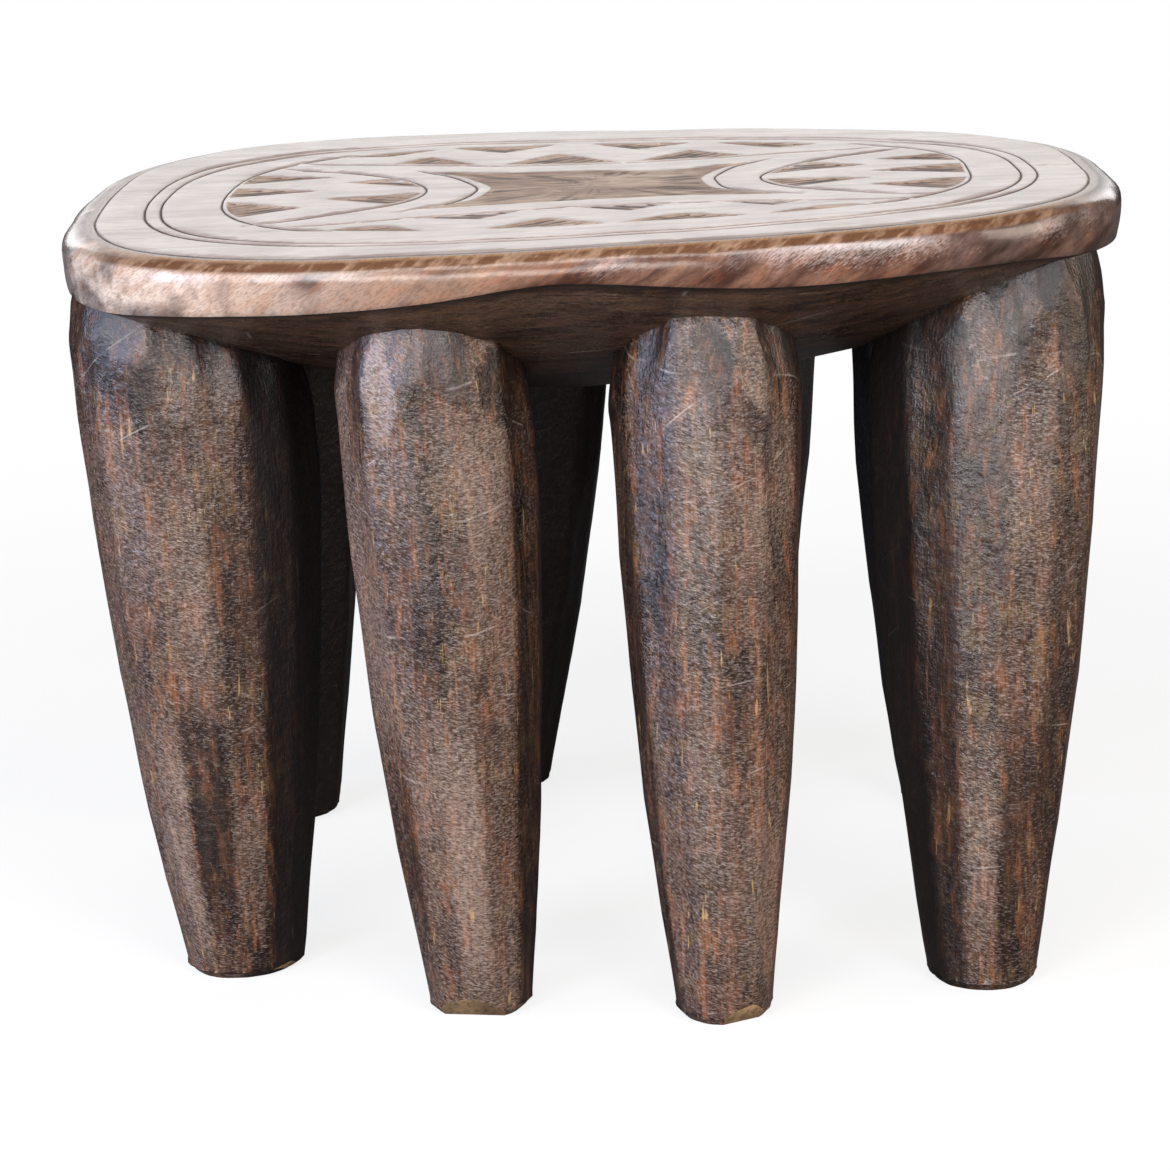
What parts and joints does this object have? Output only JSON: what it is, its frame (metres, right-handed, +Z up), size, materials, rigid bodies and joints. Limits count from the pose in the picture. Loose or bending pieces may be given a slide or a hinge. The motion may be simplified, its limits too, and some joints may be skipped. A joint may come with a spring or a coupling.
{
  "type": "carved stool",
  "caption": "Low carved wooden stool: thick oval seat with a relief-carved geometric top, swelling underside and tapered hewn legs tenoned into it.",
  "frame": {"origin": "on the floor under the middle of the seat", "axes": "+X along the seat's length to the right, -Y to the front, +Z up"},
  "size_m": [0.421, 0.352, 0.3],
  "materials": {
    "seat_wood": "worn and polished by use, semi-gloss",
    "leg_wood": "dark hewn hardwood with a waxed, scuffed patina"
  },
  "bodies": {
    "root": {"seat": "seat_wood", "leg_front_left_corner": "leg_wood", "leg_front_left": "leg_wood", "leg_front_right": "leg_wood", "leg_front_right_corner": "leg_wood", "leg_back_left_corner": "leg_wood", "leg_back_left": "leg_wood", "leg_back_right": "leg_wood", "leg_back_right_corner": "leg_wood"}
  },
  "joints": []
}
